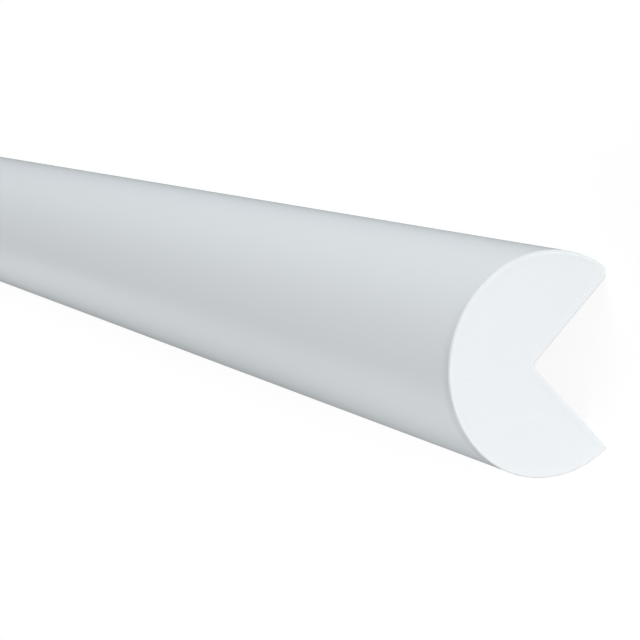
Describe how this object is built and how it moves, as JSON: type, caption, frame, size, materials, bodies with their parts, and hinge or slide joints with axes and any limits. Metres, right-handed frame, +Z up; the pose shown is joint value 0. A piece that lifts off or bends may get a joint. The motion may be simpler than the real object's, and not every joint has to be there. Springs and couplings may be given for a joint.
{
  "type": "corner guard moulding",
  "caption": "Round soft foam moulding with a right-angled notch along its length, which cushions the outer corner of a wall, post or beam.",
  "frame": {"origin": "on the floor, under the middle of the moulding", "axes": "+X along the length; +Y across, towards the crisp lip; +Z up, away from the notch, which opens downwards"},
  "size_m": [1, 0.04, 0.0316],
  "materials": {
    "foam": "matt white polyurethane foam with its own smooth moulded skin"
  },
  "bodies": {
    "root": {"corner_guard": "foam"}
  },
  "joints": []
}
